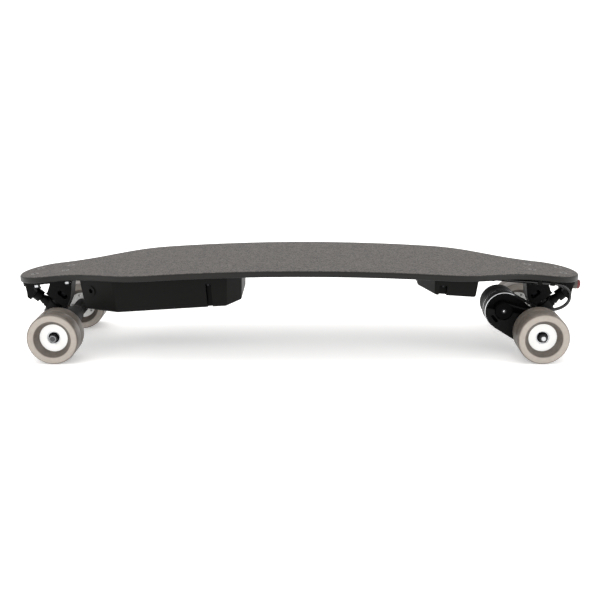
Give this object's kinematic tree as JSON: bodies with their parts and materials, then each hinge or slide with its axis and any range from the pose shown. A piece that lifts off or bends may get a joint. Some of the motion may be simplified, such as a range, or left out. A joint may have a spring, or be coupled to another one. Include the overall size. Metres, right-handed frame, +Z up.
{
  "type": "electric skateboard",
  "caption": "Electric longboard: arched deck with grip tape, sprung steering trucks, urethane wheels, belt drive with hub-side motor, battery and controller cases below",
  "frame": {"origin": "on the ground, midway between the two trucks, below the middle of the deck", "axes": "+X towards the tail, which carries the rear light; +Z up; -Y is the left side, with the belt drive"},
  "size_m": [0.9754, 0.265, 0.1556],
  "materials": {
    "painted_wood": "satin",
    "grip_tape": "coarse mineral grit",
    "black_plastic": "fine moulded texture",
    "black_foam": "matt",
    "cell_wrap": "shrink wrap",
    "circuit_board": "solder mask",
    "nickel_contact": "plated",
    "black_oxide_steel": "black oxide",
    "zinc_steel": "zinc plated",
    "black_painted_aluminium": "powder coated",
    "bushing_urethane": "satin",
    "black_rubber": "matt",
    "wheel_urethane": "satin grey",
    "white_core": "moulded",
    "bearing_steel": "black shield",
    "black_anodised_aluminium": "anodised",
    "motor_can_black": "anodised",
    "motor_windings": "enamelled copper and steel",
    "ground_steel": "ground",
    "belt_rubber": "neoprene",
    "cable_sheath": "glossy",
    "red_lens": "glossy"
  },
  "bodies": {
    "board": {"deck": "painted_wood", "grip_tape": "grip_tape", "deck_bolts": "black_oxide_steel", "deck_bolt_nuts": "zinc_steel", "riser_pads": "black_rubber", "rear_baseplate": "black_painted_aluminium", "front_baseplate": "black_painted_aluminium", "pivot_cups": "black_rubber", "kingpins": "zinc_steel", "kingpin_nuts": "zinc_steel", "rear_bushings": "bushing_urethane", "front_bushings": "bushing_urethane", "bushing_washers": "zinc_steel", "battery_case": "black_plastic", "battery_cells": "cell_wrap", "bms_board": "circuit_board", "charge_socket": "black_plastic", "button_bezel": "black_plastic", "esc_case": "black_plastic", "esc_board": "circuit_board", "case_seals": "black_foam", "case_screws": "black_oxide_steel", "link_cable": "cable_sheath", "tail_light_body": "black_anodised_aluminium", "tail_light_lens": "red_lens", "motor_cable": "cable_sheath", "cable_clips": "black_plastic"},
    "front_truck_hanger": {"front_hanger": "black_painted_aluminium", "front_axle": "ground_steel", "front_axle_nuts": "zinc_steel", "front_axle_spacers": "zinc_steel"},
    "rear_truck_hanger": {"rear_hanger": "black_painted_aluminium", "rear_axle": "ground_steel", "rear_axle_nuts": "zinc_steel", "rear_axle_spacers": "zinc_steel", "motor_mount": "black_anodised_aluminium", "motor_screws": "black_oxide_steel", "motor_base": "motor_windings", "drive_belt": "belt_rubber", "belt_guard": "black_plastic"},
    "motor_rotor": {"motor_can": "motor_can_black", "motor_shaft": "ground_steel", "motor_pulley": "black_anodised_aluminium"},
    "power_switch_button": {"power_button": "black_plastic"},
    "front_left_wheel": {"front_left_tyre": "wheel_urethane", "front_left_core": "white_core", "front_left_bearings": "bearing_steel"},
    "front_right_wheel": {"front_right_tyre": "wheel_urethane", "front_right_core": "white_core", "front_right_bearings": "bearing_steel"},
    "rear_left_wheel": {"rear_left_tyre": "wheel_urethane", "rear_left_core": "white_core", "rear_left_bearings": "bearing_steel", "wheel_pulley": "black_anodised_aluminium", "pulley_screws": "black_oxide_steel"},
    "rear_right_wheel": {"rear_right_tyre": "wheel_urethane", "rear_right_core": "white_core", "rear_right_bearings": "bearing_steel"}
  },
  "joints": [
    {"name": "front_steer", "type": "hinge", "parent": "board", "child": "front_truck_hanger", "pos_m": [-0.40312, 0, 0.0425], "axis": [-0.7819, 0, 0.6234], "range_deg": [-18, 18], "stiffness_Nm_per_rad": 60, "deforming": ["front_bushings"]},
    {"name": "rear_steer", "type": "hinge", "parent": "board", "child": "rear_truck_hanger", "pos_m": [0.40312, 0, 0.0425], "axis": [0.7819, 0, 0.6234], "range_deg": [-18, 18], "stiffness_Nm_per_rad": 60, "deforming": ["rear_bushings", "motor_cable"]},
    {"name": "front_left_wheel_spin", "type": "hinge", "parent": "front_truck_hanger", "child": "front_left_wheel", "pos_m": [-0.40312, -0.10625, 0.0425], "axis": [0, 1, 0], "continuous": true},
    {"name": "front_right_wheel_spin", "type": "hinge", "parent": "front_truck_hanger", "child": "front_right_wheel", "pos_m": [-0.40312, 0.10625, 0.0425], "axis": [0, 1, 0], "continuous": true},
    {"name": "rear_left_wheel_spin", "type": "hinge", "parent": "rear_truck_hanger", "child": "rear_left_wheel", "pos_m": [0.40312, -0.10625, 0.0425], "axis": [0, 1, 0], "continuous": true},
    {"name": "rear_right_wheel_spin", "type": "hinge", "parent": "rear_truck_hanger", "child": "rear_right_wheel", "pos_m": [0.40312, 0.10625, 0.0425], "axis": [0, 1, 0], "continuous": true},
    {"name": "motor_spin", "type": "hinge", "parent": "rear_truck_hanger", "child": "motor_rotor", "pos_m": [0.34564, -0.03, 0.07622], "axis": [0, 1, 0], "continuous": true},
    {"name": "power_button_press", "type": "slide", "parent": "board", "child": "power_switch_button", "axis": [0.5343, -0.8367, 0.1201], "range_m": [0, 0.0015], "stiffness_N_per_m": 900}
  ],
  "couplings": [
    {"joint": "motor_spin", "follows": "rear_left_wheel_spin", "ratio": 2.4}
  ]
}
